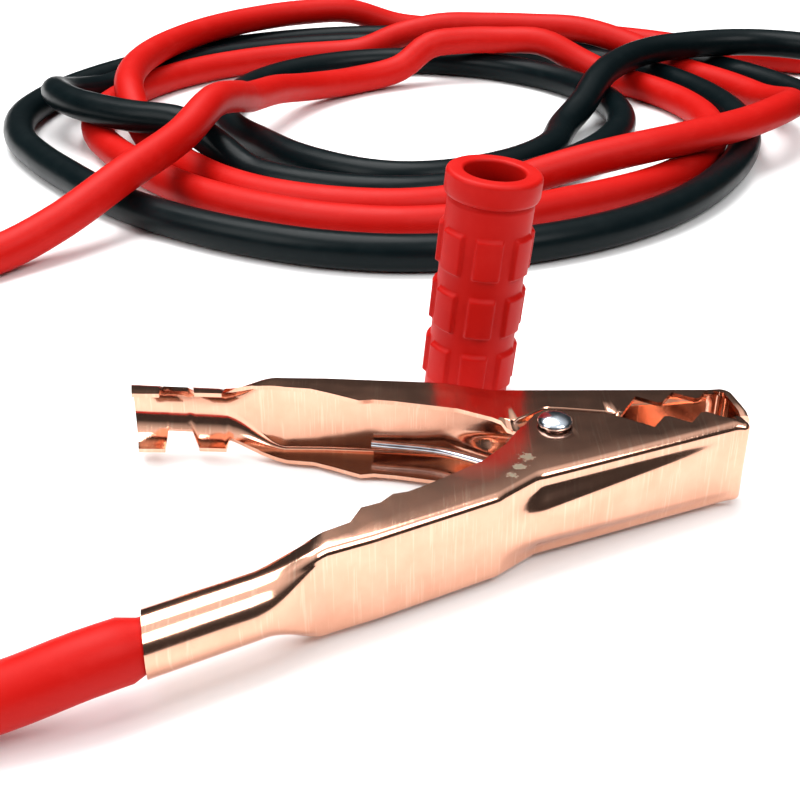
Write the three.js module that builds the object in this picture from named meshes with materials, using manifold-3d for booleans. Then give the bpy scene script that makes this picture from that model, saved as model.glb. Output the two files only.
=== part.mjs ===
// A car jumper cable: a red and a black lead with a sprung copper-plated clamp at each end.
// One clamp lies bare in front of the coiled leads, with its grip sleeves off; the other three wear theirs.
// Millimetres, +Z up, floor at Z = 0. Each clamp is drawn in its own frame: pivot axis at X = Y = 0,
// jaws along +X, handles along -X. The outer jaw is on the -Y side and the inner jaw on the +Y side.
import * as THREE from "three";
import { mergeVertices } from "three/addons/utils/BufferGeometryUtils.js";
import Module from "manifold-3d";

const wasm = await Module();
wasm.setup();

// Clamp sizes
const sheet = 0.8;                 // pressed steel of the jaws
const clearance = 0.3;             // running gap between touching pieces
const channelHeight = 17;          // jaw channel over its flanges
const jawReach = 34.5;             // pivot to jaw tip
const handleReach = 73;            // pivot to tail end
const tipHalfWidth = 6.5;          // web to centre plane at the tip
const pivotHalfWidth = 13.6;       // web bend to centre plane at the pivot
const waistHalfWidth = 19.7;       // the same just behind the scoops
const shoulderHalfWidth = 26.1;    // where the handle starts to narrow to its tail
const crimpHalfWidth = 33.3;       // where the crimp starts
const tailHalfWidth = 38.5;        // web to centre plane at the tail end
const scoopEnd = 7.5;              // how far behind the pivot the scoops run
const waistPlace = 15.5;           // how far behind the pivot the waist is
const shoulderPlace = 37;          // how far behind the pivot the shoulder is
const bendRadius = 1.6;            // outside radius where web meets flange
const stripHalfHeight = 1.5;       // flat strip between the scoops at the waist
const stripFlare = 1.6;            // corner of the strip at the tip, above and below
const lipRadius = 2.6;             // bend of the web round the front of the mouth
const lipMeeting = -2.5;           // Y where the two lips meet
const toothPitch = 7.1;
const toothDepth = 3.0;
const firstTooth = 20.4;           // pivot to the outer jaw's first tooth
const toothLand = 1.0;             // flat on top of a tooth
const mouthStart = 11;             // pivot to the back of the mouth
const mouthCentre = 0.9;           // Y of the mouth's middle line
const mouthHalfGap = 2.45;         // middle line to the tooth tops
const earReach = 5.3;              // flange past the pivot axis
const flangeDepth = 8.8;           // flange along the handle
const crimpRadius = 5.2;           // outside radius of the closed crimp
const crimpSeam = 24;              // half angle of the crimp's open seam, degrees
const crimpLength = 17;            // closed part of the crimp
const crimpBlend = 11;             // channel to crimp
const cradleRadius = 6.2;          // outside radius of the open cradle
const tabLength = 6.6;             // crimping tabs of the open cradle, from the web
const tabWidth = 6;
const tabNotch = 4.5;              // gap between the two pairs of tabs

// Rivet and spring sizes
const shankRadius = 2.0;
const headRadius = 3.4;
const headHeight = 1.5;
const footHeight = 0.8;            // flat lower head
const wireRadius = 0.75;
const springRadius = 4.6;          // middle of the wire
const springTurns = 5;
const springPitch = 1.75;
const springLegReach = 28.8;       // pivot to the leg's end along the clamp

// Sleeve sizes
const sleeveRadius = 9.6;
const sleeveBodyRadius = 8.7;      // between the pads
const sleeveLength = 50;
const sleeveMouthRadius = 6.1;
const sleeveBoreRadius = 7.2;
const sleeveMouthDepth = 5;
const collarLength = 5.5;
const padRows = 3;
const padsRound = 7;
const padLength = 8.4;
const padPitch = 12.6;
const padStart = 11.5;             // sleeve end to the first row
const padArc = 32;                 // degrees
const fittedHeight = 23;           // sleeve pressed oval over a handle
const fittedDepth = 18;
const fittedLength = 37.8;
const fittedCorner = 2.5;
const fittedWall = 1.5;
const fittedStart = 40;            // pivot to the front end of a fitted sleeve
const fittedAxis = 23;           // its axis to the centre plane there

// Leads
const cordRadius = 5;
const cordSides = 8;
const neckRadius = 4.0;            // insulation squeezed inside the crimp

// Places on the floor
const pivotHeight = footHeight + clearance + channelHeight / 2;
const fittedPivotHeight = fittedHeight / 2;
const heroPivot = [27.3, -37.9];
const heroTurn = 12;
const looseSleevePlace = [13.7, 5];
const looseSleeveLean = 5.4;
const sleevedTurn = -90;
const sleevedClamps = [
  { name: "red_far", pivot: [300, 127], colour: "red" },
  { name: "black_far", pivot: [209, 127], colour: "black" },
  { name: "black_near", pivot: [186, -13], colour: "black" },
];
const slidSleeveStart = [-153, -62];
const coilCentre = [0, 187];
const coilInside = 48;             // radius of the space inside the coil
const coilOutside = 137;
const coilLayer = 2 * cordRadius;  // height of each of the coil's two layers

const copper = { color: 0xc47a52, metalness: 1, roughness: 0.22 };
const steel = { color: 0xc9ccd0, metalness: 1, roughness: 0.2 };
const redVinyl = { color: 0xc81d1d, metalness: 0, roughness: 0.45 };
const blackVinyl = { color: 0x101617, metalness: 0, roughness: 0.4 };

const degrees = Math.PI / 180;
const part = new THREE.Group();

// Straight-line value between listed [x, value] pairs, x rising.
function along(pairs, x) {
  if (x <= pairs[0][0]) return pairs[0][1];
  for (let i = 1; i < pairs.length; i++) {
    const [x0, v0] = pairs[i - 1];
    const [x1, v1] = pairs[i];
    if (x <= x1) return v0 + ((v1 - v0) * (x - x0)) / (x1 - x0);
  }
  return pairs[pairs.length - 1][1];
}

function smooth(t) {
  const u = Math.min(1, Math.max(0, t));
  return u * u * (3 - 2 * u);
}

// Closed mesh helpers.
function weld(geometry) {
  const bare = new THREE.BufferGeometry();
  bare.setAttribute("position", geometry.getAttribute("position").clone());
  if (geometry.index) bare.setIndex(geometry.index.clone());
  const merged = mergeVertices(bare, 1e-4);
  const index = merged.index.array;
  const kept = [];
  for (let i = 0; i < index.length; i += 3) {
    const [a, b, c] = [index[i], index[i + 1], index[i + 2]];
    if (a !== b && b !== c && c !== a) kept.push(a, b, c);
  }
  merged.setIndex(kept);
  return merged;
}

function volumeOf(geometry) {
  const p = geometry.getAttribute("position");
  const index = geometry.index.array;
  const [a, b, c] = [new THREE.Vector3(), new THREE.Vector3(), new THREE.Vector3()];
  let total = 0;
  for (let i = 0; i < index.length; i += 3) {
    a.fromBufferAttribute(p, index[i]);
    b.fromBufferAttribute(p, index[i + 1]);
    c.fromBufferAttribute(p, index[i + 2]);
    total += a.dot(b.cross(c)) / 6;
  }
  return total;
}

function facingOut(geometry) {
  const welded = weld(geometry);
  if (volumeOf(welded) > 0) return welded;
  const index = Array.from(welded.index.array);
  for (let i = 0; i < index.length; i += 3) [index[i + 1], index[i + 2]] = [index[i + 2], index[i + 1]];
  welded.setIndex(index);
  return welded;
}

function solid(geometry) {
  const closed = facingOut(geometry);
  return new wasm.Manifold(
    new wasm.Mesh({
      numProp: 3,
      vertProperties: new Float32Array(closed.getAttribute("position").array),
      triVerts: new Uint32Array(closed.index.array),
    }),
  );
}

function fromSolid(body) {
  const mesh = body.getMesh();
  const geometry = new THREE.BufferGeometry();
  geometry.setAttribute("position", new THREE.BufferAttribute(new Float32Array(mesh.vertProperties), 3));
  geometry.setIndex(new THREE.BufferAttribute(new Uint32Array(mesh.triVerts), 1));
  return geometry;
}

function addMesh(group, name, geometry, look) {
  const shown = geometry.index ? geometry : weld(geometry);
  shown.computeVertexNormals();
  const mesh = new THREE.Mesh(shown, new THREE.MeshStandardMaterial(look));
  mesh.name = name;
  group.add(mesh);
  return mesh;
}

// Skin over a row of rings with the same number of points, closed at both ends.
// Each ring runs out along the outer face and back along the inner one.
function loft(rings) {
  const count = rings[0].length;
  const half = count / 2;
  const points = rings.flat();
  const faces = [];
  for (let i = 0; i + 1 < rings.length; i++)
    for (let k = 0; k < count; k++) {
      const next = (k + 1) % count;
      const [a, b] = [i * count + k, i * count + next];
      faces.push(a, b, b + count, a, b + count, a + count);
    }
  for (const [start, turned] of [[0, true], [(rings.length - 1) * count, false]])
    for (let k = 0; k + 1 < half; k++) {
      const quad = [start + k, start + k + 1, start + count - 2 - k, start + count - 1 - k];
      const [a, b, c, d] = turned ? [...quad].reverse() : quad;
      faces.push(a, b, c, a, c, d);
    }
  const geometry = new THREE.BufferGeometry();
  geometry.setAttribute("position", new THREE.Float32BufferAttribute(points.flat(), 3));
  geometry.setIndex(faces);
  return facingOut(geometry);
}

// Distance of the web's upper and lower bends from the clamp's centre plane.
const bendLine = [
  [-handleReach, tailHalfWidth],
  [-handleReach + crimpLength, crimpHalfWidth],
  [-handleReach + crimpLength + crimpBlend, shoulderHalfWidth + 1.9],
  [-shoulderPlace, shoulderHalfWidth],
  [-waistPlace, waistHalfWidth],
  [-scoopEnd, pivotHalfWidth + 1.5],
  [0, pivotHalfWidth],
  [jawReach, tipHalfWidth],
];

// The flat strip runs straight from the waist to the tip, so the scoops lie between it and the bends.
const stripLine = [
  [-waistPlace, waistHalfWidth],
  [jawReach, tipHalfWidth],
];

function scoopDepth(x) {
  return x <= -waistPlace ? 0 : Math.max(0, along(stripLine, x) - along(bendLine, x));
}

// How far a flange reaches past the centre plane, for the outer jaw; negative is short of it.
function earEdge() {
  return [
    [-waistPlace, -waistHalfWidth + 10.9],
    [-10.2, -4.5],
    [-5.6, 0.5],
    [-2.6, 3.9],
    [0, earReach],
    [3.2, earReach - 1.2],
    [mouthStart, mouthCentre + clearance],
  ];
}

function toothEdge(offset, top) {
  const edge = [];
  for (let n = 0; n < 3; n++) {
    const peak = firstTooth + offset + n * toothPitch;
    const valley = peak - toothPitch / 2;
    edge.push([valley, top - toothDepth]);
    if (peak + toothLand / 2 < jawReach - lipRadius)
      edge.push([peak - toothLand / 2, top], [peak + toothLand / 2, top]);
  }
  return edge;
}

function waveEdge() {
  const steps = [
    [shoulderPlace + 3.4, 5.4],
    [shoulderPlace + 1, 8.4],
    [shoulderPlace - 2.3, flangeDepth - 0.6],
    [shoulderPlace - 4.7, flangeDepth + 0.6],
    [shoulderPlace - 7.2, flangeDepth],
    [shoulderPlace - 10.9, flangeDepth + 0.3],
  ];
  return steps.map(([back, depth]) => [-back, depth]);
}

// Flange depth from the web at x, for either jaw.
const flangeLine = {
  outer: [
    [-handleReach + crimpLength + crimpBlend - 2, 4.6],
    ...waveEdge(),
    ...[...earEdge(), ...toothEdge(0, mouthCentre - mouthHalfGap)].map(([x, e]) => [x, along(bendLine, x) + e]),
    [jawReach - lipRadius - 0.6, 2.4],
    [jawReach, 2.0],
  ],
  inner: [
    [-handleReach, tabLength],
    [-handleReach + tabWidth - 1, tabLength - 0.4],
    [-handleReach + tabWidth, 2.4],
    [-handleReach + tabWidth + tabNotch, 2.4],
    [-handleReach + tabWidth + tabNotch + 1, tabLength - 1.4],
    [-handleReach + 2 * tabWidth + tabNotch, tabLength - 1.6],
    [-handleReach + 2 * tabWidth + tabNotch + 1, 3.6],
    ...waveEdge().slice(0, 1),
    ...waveEdge().slice(2),
    ...[...earEdge(), ...toothEdge(0.8, -mouthCentre - mouthHalfGap)].map(([x, e]) => [x, along(bendLine, x) + e]),
    [jawReach - lipRadius + 0.6, 2.2],
    [jawReach, 2.0],
  ],
};

// Half of a channel section, from the flange's free edge to the strip, as [inward, up] points.
function halfSection({ halfHeight, radius, depth, scoop, strip, inset }) {
  const r = Math.max(0.25, radius - inset);
  const full = Math.acos(Math.max(-0.2, 1 - Math.max(0.5, depth - 0.25 - inset * 0.2) / radius));
  const angle = Math.min(Math.PI / 2, full);
  const points = [];
  const arcEnd = [scoop + radius - r * Math.cos(angle), halfHeight - radius + r * Math.sin(angle)];
  const reach = Math.max(0.2, depth - radius) * (angle >= Math.PI / 2 ? 1 : 0.2);
  points.push([arcEnd[0] + reach * Math.sin(angle), arcEnd[1] + reach * Math.cos(angle)]);
  for (const share of [1, 0.5, 0]) {
    const a = angle * share;
    points.push([scoop + radius - r * Math.cos(a), halfHeight - radius + r * Math.sin(a)]);
  }
  const low = halfHeight - radius;
  points.push([scoop * 0.72 + inset, low + (strip - low) * 0.5]);
  points.push([inset, strip]);
  return points;
}

// A full section ring about the pivot height, outer face first, then back along the inner face.
function channelRing(size) {
  const outer = halfSection({ ...size, inset: 0 });
  const inner = halfSection({ ...size, inset: sheet });
  const mirror = (points) => points.map(([q, z]) => [q, -z]).reverse();
  const outerFace = [...outer, ...mirror(outer)];
  const innerFace = [...inner, ...mirror(inner)];
  return [...outerFace, ...innerFace.reverse()];
}

function tubeRing(radius, seam) {
  const half = 6;
  const face = (r) =>
    Array.from({ length: 2 * half }, (_, k) => {
      const a = (180 - seam) * degrees * (1 - (2 * k) / (2 * half - 1));
      return [radius - r * Math.cos(a), r * Math.sin(a)];
    });
  return [...face(radius), ...face(radius - sheet).reverse()];
}

function mixRings(a, b, share) {
  return a.map(([q, z], k) => [q + (b[k][0] - q) * share, z + (b[k][1] - z) * share]);
}

// One jaw: sections across the clamp from the tail to the mouth, then round the lip.
function jawGeometry(kind, fine) {
  const outer = kind === "outer";
  const side = outer ? -1 : 1;
  const inside = outer ? 0 : sheet + clearance;
  const edges = flangeLine[kind];
  const crimpEnd = -handleReach + crimpLength;
  const blendEnd = crimpEnd + crimpBlend;
  const coarse = [-handleReach, crimpEnd, crimpEnd + crimpBlend / 2, blendEnd, -shoulderPlace,
    -waistPlace - 4, -waistPlace, -scoopEnd - 4, -scoopEnd, -3, 0, 3.2, mouthStart, 24, jawReach - lipRadius];
  const extra = [crimpEnd + 1.5, crimpEnd + crimpBlend * 0.3, crimpEnd + crimpBlend * 0.75, -28, -18, -5];
  const places = [...coarse, ...(fine ? extra : []), ...edges.map(([x]) => x)]
    .filter((x) => x >= -handleReach && x <= jawReach - lipRadius)
    .sort((a, b) => a - b)
    .filter((x, i, all) => i === 0 || x - all[i - 1] > (fine ? 0.45 : 1.4));
  const stations = places.map((x) => {
    const tail = smooth((blendEnd - x) / crimpBlend);
    const narrow = inside * (1 - smooth((-20 - x) / 12));
    const halfHeight = channelHeight / 2 - narrow;
    const straight = {
      halfHeight,
      radius: bendRadius,
      depth: along(edges, x),
      scoop: scoopDepth(x),
      strip: x <= -waistPlace - 6
        ? halfHeight - bendRadius - 0.6
        : along([[-waistPlace - 6, halfHeight - bendRadius - 0.6], [-waistPlace, stripHalfHeight],
            [jawReach, halfHeight - bendRadius - stripFlare]], x),
    };
    let ring = channelRing(straight);
    if (outer && tail > 0) ring = mixRings(ring, tubeRing(crimpRadius, crimpSeam), tail);
    if (!outer && tail > 0) {
      const open = {
        ...straight,
        halfHeight: halfHeight + (cradleRadius + 0.3 - halfHeight) * tail,
        radius: bendRadius + (cradleRadius - bendRadius) * tail,
        strip: 0.15 + (straight.strip - 0.15) * (1 - tail),
      };
      ring = channelRing(open);
    }
    const web = x <= -waistPlace ? along(bendLine, x) : along(stripLine, x);
    return ring.map(([q, z]) => [x, side * (web - q), z]);
  });
  const last = jawReach - lipRadius;
  const tip = {
    halfHeight: channelHeight / 2 - inside - 0.4,
    radius: 1.1,
    depth: 1.9,
    scoop: 0,
    strip: channelHeight / 2 - inside - 0.4 - bendRadius - stripFlare,
  };
  const reachOut = outer ? 0 : 1.8;
  const bend = outer ? 1.5 : lipRadius;
  const web = along(stripLine, last);
  const centre = [last + reachOut + lipRadius - bend, web - bend];
  for (const turn of [0, 35, 65, 90]) {
    const a = turn * degrees;
    const ring = channelRing(tip);
    stations.push(ring.map(([q, z]) => [
      centre[0] + (bend - q) * Math.sin(a),
      side * (centre[1] + (bend - q) * Math.cos(a)),
      z,
    ]));
  }
  const meeting = lipMeeting * side + clearance / 2;
  const end = channelRing({ ...tip, halfHeight: tip.halfHeight - 0.6 });
  stations.push(end.map(([q, z]) => [centre[0] + bend - q, side * meeting, z]));
  return loft(stations);
}

function boredForRivet(geometry) {
  const drill = new THREE.CylinderGeometry(shankRadius + clearance, shankRadius + clearance, channelHeight * 2, 16);
  drill.rotateX(Math.PI / 2);
  return fromSolid(solid(geometry).subtract(solid(drill)));
}

// A turned solid from [radius, height] points, closed on itself or on the axis.
function turned(profile, sides) {
  const geometry = new THREE.LatheGeometry(profile.map(([r, h]) => new THREE.Vector2(r, h)), sides);
  geometry.rotateX(Math.PI / 2);
  return facingOut(geometry);
}

function rivetGeometry() {
  const top = channelHeight / 2 + clearance;
  const foot = -channelHeight / 2 - clearance;
  const dome = [90, 65, 40, 18].map((a) => [
    headRadius * Math.sin(a * degrees),
    top + 0.3 + (headHeight - 0.3) * Math.cos(a * degrees),
  ]);
  return turned(
    [[0, foot - footHeight], [headRadius - 0.2, foot - footHeight], [headRadius, foot], [shankRadius, foot],
      [shankRadius, top], [headRadius, top], ...dome, [0, top + headHeight]],
    16,
  );
}

// Torsion spring: a coil round the rivet, with one leg to each handle.
function springPoints() {
  const bottom = (-springTurns * springPitch) / 2;
  const legDrop = 0.8;
  const points = [];
  const end = springLegReach;
  const webAt = (x) => along(bendLine, -x) - sheet - wireRadius - clearance;
  points.push([-end, webAt(end), bottom - legDrop]);
  points.push([-end * 0.55, webAt(end) * 0.74, bottom - legDrop]);
  const startAngle = 118;
  const sweep = springTurns * 360 + 124;
  const steps = springTurns * 8;
  for (let k = 0; k <= steps; k++) {
    const a = (startAngle - (sweep * k) / steps) * degrees;
    points.push([springRadius * Math.cos(a), springRadius * Math.sin(a), bottom + (springTurns * springPitch * k) / steps]);
  }
  const top = bottom + springTurns * springPitch + legDrop;
  points.push([-end * 0.55, -webAt(end) * 0.74, top]);
  points.push([-end, -webAt(end), top]);
  return points.map((p) => new THREE.Vector3(...p));
}

function circleShape(radius, sides) {
  const shape = new THREE.Shape();
  for (let k = 0; k < sides; k++) {
    const a = (2 * Math.PI * k) / sides;
    if (k === 0) shape.moveTo(radius * Math.cos(a), radius * Math.sin(a));
    else shape.lineTo(radius * Math.cos(a), radius * Math.sin(a));
  }
  shape.closePath();
  return shape;
}

function tubeAlong(points, radius, sides, steps) {
  const path = new THREE.CatmullRomCurve3(points, false, "centripetal");
  return new THREE.ExtrudeGeometry(circleShape(radius, sides), { extrudePath: path, steps, curveSegments: 1 });
}

function springGeometry() {
  return facingOut(tubeAlong(springPoints(), wireRadius, 6, springTurns * 9 + 8));
}

// The grip sleeve as it comes off the handle: a collar, a bore and rows of raised pads.
function sleeveGeometry(withPads) {
  const body = turned(
    [[sleeveBoreRadius, 0], [sleeveBodyRadius, 0], [sleeveBodyRadius, sleeveLength - collarLength],
      [sleeveRadius, sleeveLength - collarLength + 0.9], [sleeveRadius, sleeveLength - 0.8],
      [sleeveRadius - 0.8, sleeveLength], [sleeveMouthRadius, sleeveLength],
      [sleeveMouthRadius, sleeveLength - sleeveMouthDepth],
      [sleeveBoreRadius, sleeveLength - sleeveMouthDepth - 1], [sleeveBoreRadius, 0]],
    28,
  );
  if (!withPads) return body;
  let joined = solid(body);
  for (let row = 0; row < padRows; row++)
    for (let k = 0; k < padsRound; k++) {
      const arc = new THREE.Shape();
      const from = ((k * 360) / padsRound - padArc / 2) * degrees;
      arc.absarc(0, 0, sleeveRadius, from, from + padArc * degrees, false);
      arc.absarc(0, 0, sleeveBodyRadius - 0.7, from + padArc * degrees, from, true);
      const pad = new THREE.ExtrudeGeometry(arc, { depth: padLength, bevelEnabled: false, curveSegments: 3 });
      pad.translate(0, 0, sleeveLength - padStart - padLength - row * padPitch);
      joined = joined.add(solid(pad));
    }
  return fromSolid(joined);
}

function roundedBox(width, height, corner) {
  const shape = new THREE.Shape();
  const [x, y] = [width / 2 - corner, height / 2 - corner];
  shape.absarc(x, y, corner, 0, Math.PI / 2, false);
  shape.absarc(-x, y, corner, Math.PI / 2, Math.PI, false);
  shape.absarc(-x, -y, corner, Math.PI, 1.5 * Math.PI, false);
  shape.absarc(x, -y, corner, 1.5 * Math.PI, 2 * Math.PI, false);
  shape.closePath();
  return shape;
}

// A sleeve pressed over a handle: a prism along the handle, from ahead of the shoulder to past the tail.
function fittedSleeveGeometry(side) {
  const shape = roundedBox(fittedDepth, fittedHeight, fittedCorner);
  shape.holes.push(roundedBox(fittedDepth - 2 * fittedWall, fittedHeight - 2 * fittedWall, fittedCorner - fittedWall));
  const sleeve = new THREE.ExtrudeGeometry(shape, { depth: fittedLength, bevelEnabled: false, curveSegments: 3 });
  const crimpAxis = tailHalfWidth - crimpRadius;
  const slope = Math.atan2(crimpAxis - fittedAxis, handleReach - fittedStart);
  const inward = new THREE.Vector3(Math.sin(slope), -side * Math.cos(slope), 0);
  const back = new THREE.Vector3(-Math.cos(slope), side * Math.sin(slope), 0);
  const start = new THREE.Vector3(-fittedStart, side * fittedAxis, 0);
  const place = new THREE.Matrix4().makeBasis(inward, new THREE.Vector3(0, 0, 1), back).setPosition(start);
  return facingOut(weld(sleeve).applyMatrix4(place));
}

// Where a cable leaves the crimp of a clamp, and the way out.
function cableExit(pivot, turn, height) {
  const slope = Math.atan2(tailHalfWidth - crimpHalfWidth, crimpLength);
  const matrix = new THREE.Matrix4().makeRotationZ(turn * degrees);
  matrix.setPosition(pivot[0], pivot[1], height);
  return {
    point: new THREE.Vector3(-handleReach, crimpRadius - tailHalfWidth, 0).applyMatrix4(matrix),
    way: new THREE.Vector3(-Math.cos(slope), -Math.sin(slope), 0).transformDirection(matrix),
    gap: cordRadius * Math.tan(slope) + clearance,
  };
}

// The cables' routes on the floor, outside the coil. Each ends inside the coil's outer shape.
const redFrontRoute = [
  [-56.4, -94.4, 7.4], [-72, -99.5, 5.8], [-92, -103, 5.1], [-112, -102, 5.1], [-130, -95, 5.6],
  [-144, -82, 7.2], [-151, -68, 8.6], [-153, -60, 8.9], [-153, -37, 8.9], [-153, -12, 8.9], [-150, 6, 8.3],
  [-143, 24, 6.6], [-131, 41, 5.3], [-117, 55, 5.1], [-103, 68, 5.6], [-90, 81, 9.5], [-77, 98, 15.4],
];
const redBackRoute = [
  [245, 230, 5.8], [210, 250, 5.4], [165, 262, 5.4], [130, 277, 5.4], [102, 296, 5.4], [70, 309, 5.4], [30, 316, 5.4],
];
const blackFrontRoute = [
  [148, 80, 8], [147, 100, 5.6], [149, 125, 5.1], [152, 155, 5.1], [152, 185, 5.1], [146, 215, 5.1],
  [132, 243, 5.1], [110, 267, 5.1], [82, 285, 5.1],
];
const blackBackRoute = [[172, 222, 13], [160, 240, 15.4], [135, 252, 15.4], [100, 243, 15.4]];

// The coil is one ring for each layer; the red cable's turns lie mostly on the black cable's.
function coilRing(bottom, top, spare = 0) {
  const [r0, r1, z0, z1] = [coilInside - spare, coilOutside + spare, bottom - spare, top + spare];
  const ring = turned([[r0, z0], [r1, z0], [r1, z1], [r0, z1], [r0, z0]], 48);
  return ring.translate(coilCentre[0], coilCentre[1], 0);
}

// One free stretch of cable: a tube out of the crimp, cut square to the coil's outer shape.
function cableGeometry(exit, route) {
  const start = exit.point.clone().addScaledVector(exit.way, exit.gap);
  const straight = start.clone().addScaledVector(exit.way, 1.4 * cordRadius);
  const points = [start, straight, ...route.map((p) => new THREE.Vector3(...p))];
  const path = new THREE.CatmullRomCurve3(points, false, "centripetal");
  const tube = solid(tubeAlong(points, cordRadius, cordSides, Math.round(path.getLength() / (4.2 * cordRadius))));
  const neck = new THREE.CylinderGeometry(neckRadius, neckRadius, crimpLength * 0.7, 8);
  neck.rotateZ(Math.PI / 2);
  neck.translate(crimpLength * 0.35 - exit.gap - clearance, 0, 0);
  neck.applyQuaternion(new THREE.Quaternion().setFromUnitVectors(new THREE.Vector3(-1, 0, 0), exit.way));
  neck.translate(...exit.point.toArray());
  const whole = tube.add(solid(neck));
  return fromSolid(whole.subtract(solid(coilRing(-1, 2 * coilLayer, clearance))));
}

// One whole clamp; a clamp of either vinyl wears a sleeve on each handle.
function addClamp(name, pivot, turn, height, vinyl) {
  const group = new THREE.Group();
  const fine = !vinyl;
  addMesh(group, `${name}_outer_jaw`, boredForRivet(jawGeometry("outer", fine)), copper);
  addMesh(group, `${name}_inner_jaw`, boredForRivet(jawGeometry("inner", fine)), copper);
  addMesh(group, `${name}_rivet`, rivetGeometry(), steel);
  addMesh(group, `${name}_spring`, springGeometry(), steel);
  if (vinyl) {
    addMesh(group, `${name}_outer_sleeve`, fittedSleeveGeometry(-1), vinyl);
    addMesh(group, `${name}_inner_sleeve`, fittedSleeveGeometry(1), vinyl);
  }
  group.rotation.z = turn * degrees;
  group.position.set(...pivot, height);
  assembly.add(group);
}

// The sleeve that stands behind the bare clamp: it leans a little, and its foot is cut level.
function standingSleeve() {
  const sleeve = weld(sleeveGeometry(true));
  const below = sleeveRadius * Math.tan(looseSleeveLean * degrees);
  sleeve.rotateY(looseSleeveLean * degrees);
  const floor = new THREE.BoxGeometry(4 * sleeveRadius, 4 * sleeveRadius, 2 * sleeveRadius);
  floor.translate(0, 0, -sleeveRadius);
  sleeve.translate(0, 0, -below);
  const geometry = fromSolid(solid(sleeve).subtract(solid(floor)));
  return geometry.translate(...looseSleevePlace, 0);
}

const assembly = new THREE.Group();
const vinyls = { red: redVinyl, black: blackVinyl };
addClamp("red_near", heroPivot, heroTurn, pivotHeight, null);
for (const { name, pivot, colour } of sleevedClamps) addClamp(name, pivot, sleevedTurn, fittedPivotHeight, vinyls[colour]);
addMesh(assembly, "loose_sleeve", standingSleeve(), redVinyl);

// The frame's origin is under the middle of the clamps and the loose sleeve.
const held = new THREE.Box3().setFromObject(assembly);

// The bare clamp's other sleeve is slid back along the red cable and lies on the floor.
const slidSleeve = addMesh(assembly, "slid_sleeve", sleeveGeometry(false), redVinyl);
slidSleeve.rotation.x = -Math.PI / 2;
slidSleeve.position.set(...slidSleeveStart, sleeveRadius);

const [redFar, blackFar, blackNear] = sleevedClamps.map(({ pivot }) => cableExit(pivot, sleevedTurn, fittedPivotHeight));
const stretches = [
  ["red_cable_front", cableExit(heroPivot, heroTurn, pivotHeight), redFrontRoute, redVinyl],
  ["red_cable_back", redFar, redBackRoute, redVinyl],
  ["black_cable_front", blackNear, blackFrontRoute, blackVinyl],
  ["black_cable_back", blackFar, blackBackRoute, blackVinyl],
];
for (const [name, exit, route, vinyl] of stretches) addMesh(assembly, name, cableGeometry(exit, route), vinyl);
addMesh(assembly, "black_cable_coil", coilRing(0, coilLayer), blackVinyl);
addMesh(assembly, "red_cable_coil", coilRing(coilLayer + clearance, 2 * coilLayer + clearance), redVinyl);

assembly.position.set(-(held.min.x + held.max.x) / 2, -(held.min.y + held.max.y) / 2, 0);
part.add(assembly);

export default part;
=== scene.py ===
"""Car jumper cable: two coiled cables, four sprung clamps and their grip sleeves, on a pale floor.

Lengths below are millimetres unless a name says otherwise, and a clamp is drawn in its own frame:
pivot axis at X = Y = 0, jaws along +X, outer jaw on the -Y side. Blender's own units are metres.
"""

from __future__ import annotations

import logging
import math
from dataclasses import dataclass, field
from enum import Enum
from typing import Sequence

import bpy
from mathutils import Matrix, Vector

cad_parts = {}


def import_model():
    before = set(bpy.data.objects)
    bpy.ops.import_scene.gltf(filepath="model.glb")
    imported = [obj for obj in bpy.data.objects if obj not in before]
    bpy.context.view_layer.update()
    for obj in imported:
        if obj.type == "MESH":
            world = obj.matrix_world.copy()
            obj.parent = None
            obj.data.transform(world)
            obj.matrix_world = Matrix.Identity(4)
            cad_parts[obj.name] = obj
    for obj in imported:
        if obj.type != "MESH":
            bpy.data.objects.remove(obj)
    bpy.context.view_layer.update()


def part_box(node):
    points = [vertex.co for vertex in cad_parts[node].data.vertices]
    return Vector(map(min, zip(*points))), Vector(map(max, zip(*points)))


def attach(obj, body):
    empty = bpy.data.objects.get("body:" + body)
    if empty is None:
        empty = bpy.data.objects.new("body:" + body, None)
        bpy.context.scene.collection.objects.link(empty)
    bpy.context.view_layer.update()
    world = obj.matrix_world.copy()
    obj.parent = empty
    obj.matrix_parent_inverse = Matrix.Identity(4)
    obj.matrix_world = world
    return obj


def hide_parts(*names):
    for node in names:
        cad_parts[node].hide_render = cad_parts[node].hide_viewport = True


log = logging.getLogger("jumper_cable")

MM = 0.001
ROOT_BODY = "cable_set"
Pairs = Sequence[tuple[float, float]]
Place = tuple[float, float, float]
Colour = tuple[float, float, float, float]


class Side(Enum):
    """Which jaw of a clamp; the value is the sign of its Y in the clamp's frame."""

    OUTER = -1
    INNER = 1


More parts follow.
